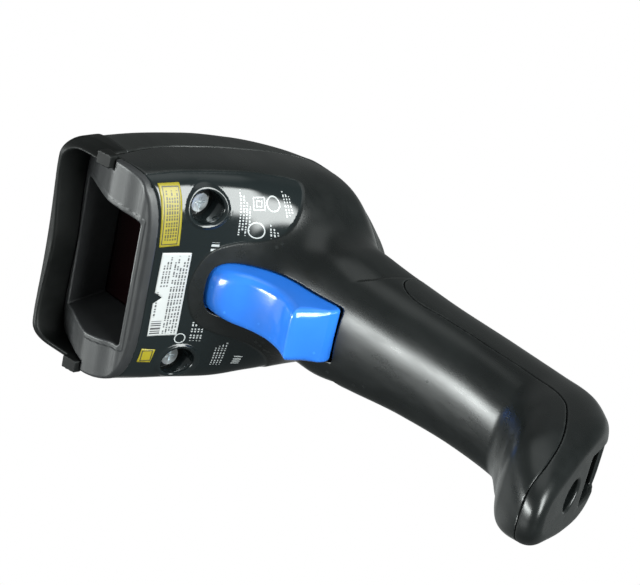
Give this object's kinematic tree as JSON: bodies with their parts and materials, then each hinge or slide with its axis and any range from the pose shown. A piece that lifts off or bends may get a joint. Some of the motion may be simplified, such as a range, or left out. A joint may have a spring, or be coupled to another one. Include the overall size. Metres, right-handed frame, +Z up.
{
  "type": "handheld barcode scanner",
  "caption": "Pistol-grip handheld scanner with a hooded scan head, recessed light funnel, swinging trigger and a screw-held foot with a cable socket.",
  "frame": {"origin": "centre of the round screw recess where it breaks the flat foot face at the bottom of the handle, on the mid-plane", "axes": "+Z up along the screw axes of the head, +X towards the scanner's left side (as its holder sees it), -Y the scan direction"},
  "size_m": [0.073, 0.0995, 0.1821],
  "materials": {
    "shell_plastic": "satin",
    "cover_plastic": "satin",
    "bumper_rubber": "matte",
    "bezel_plastic": "fine matte",
    "window_clear": "gloss",
    "trigger_blue": "gloss",
    "steel": "plated",
    "brass": "plated",
    "board_green": "solder mask",
    "black_part": "matte",
    "chassis_plastic": "matte",
    "lens_glass": "coated",
    "sensor": "gloss",
    "led_white": "gloss",
    "plunger_cream": "matte",
    "pipe_clear": "frosted",
    "ribbon": "satin",
    "gold": "plated",
    "label_white": "paper, laminated",
    "label_yellow": "paper, laminated"
  },
  "bodies": {
    "scanner": {"main_housing": "shell_plastic", "grip_back_cover": "shell_plastic", "top_cover": "cover_plastic", "nose_bumper": "bumper_rubber", "window_bezel": "bezel_plastic", "scan_window": "window_clear", "trigger_pivot_pin": "steel", "trigger_return_spring": "steel", "switch_body": "black_part", "switch_board": "board_green", "switch_board_screws": "steel", "head_screws": "steel", "foot_screw": "steel", "imager_chassis": "chassis_plastic", "lens_barrel": "black_part", "lens_elements": "lens_glass", "imager_board": "board_green", "image_sensor": "sensor", "illumination_board": "board_green", "illumination_leds": "led_white", "aimer_module": "brass", "imager_screws": "steel", "engine_screws": "steel", "board_standoffs": "brass", "main_board": "board_green", "main_board_screws": "steel", "processor_chip": "black_part", "beeper": "black_part", "status_led": "led_white", "light_pipe": "pipe_clear", "interface_board": "board_green", "interface_board_screws": "steel", "ribbon_cable": "ribbon", "cable_socket": "black_part", "socket_contacts": "gold", "data_label": "label_white", "yellow_label": "label_yellow", "small_label": "label_yellow"},
    "trigger": {"trigger": "trigger_blue"},
    "plunger": {"switch_plunger": "plunger_cream"}
  },
  "joints": [
    {"name": "trigger_pivot", "type": "hinge", "parent": "scanner", "child": "trigger", "pos_m": [0, -0.024, 0.1355], "axis": [1, 0, 0], "range_deg": [0, 4.5], "stiffness_Nm_per_rad": 0.4, "springref_deg": -2.86, "deforming": ["trigger_return_spring"]},
    {"name": "switch_press", "type": "slide", "parent": "scanner", "child": "plunger", "axis": [0, 0, 1], "range_m": [0, 0.00105]}
  ],
  "couplings": [
    {"joint": "switch_press", "follows": "trigger_pivot", "m_per_rad": 0.0133}
  ]
}
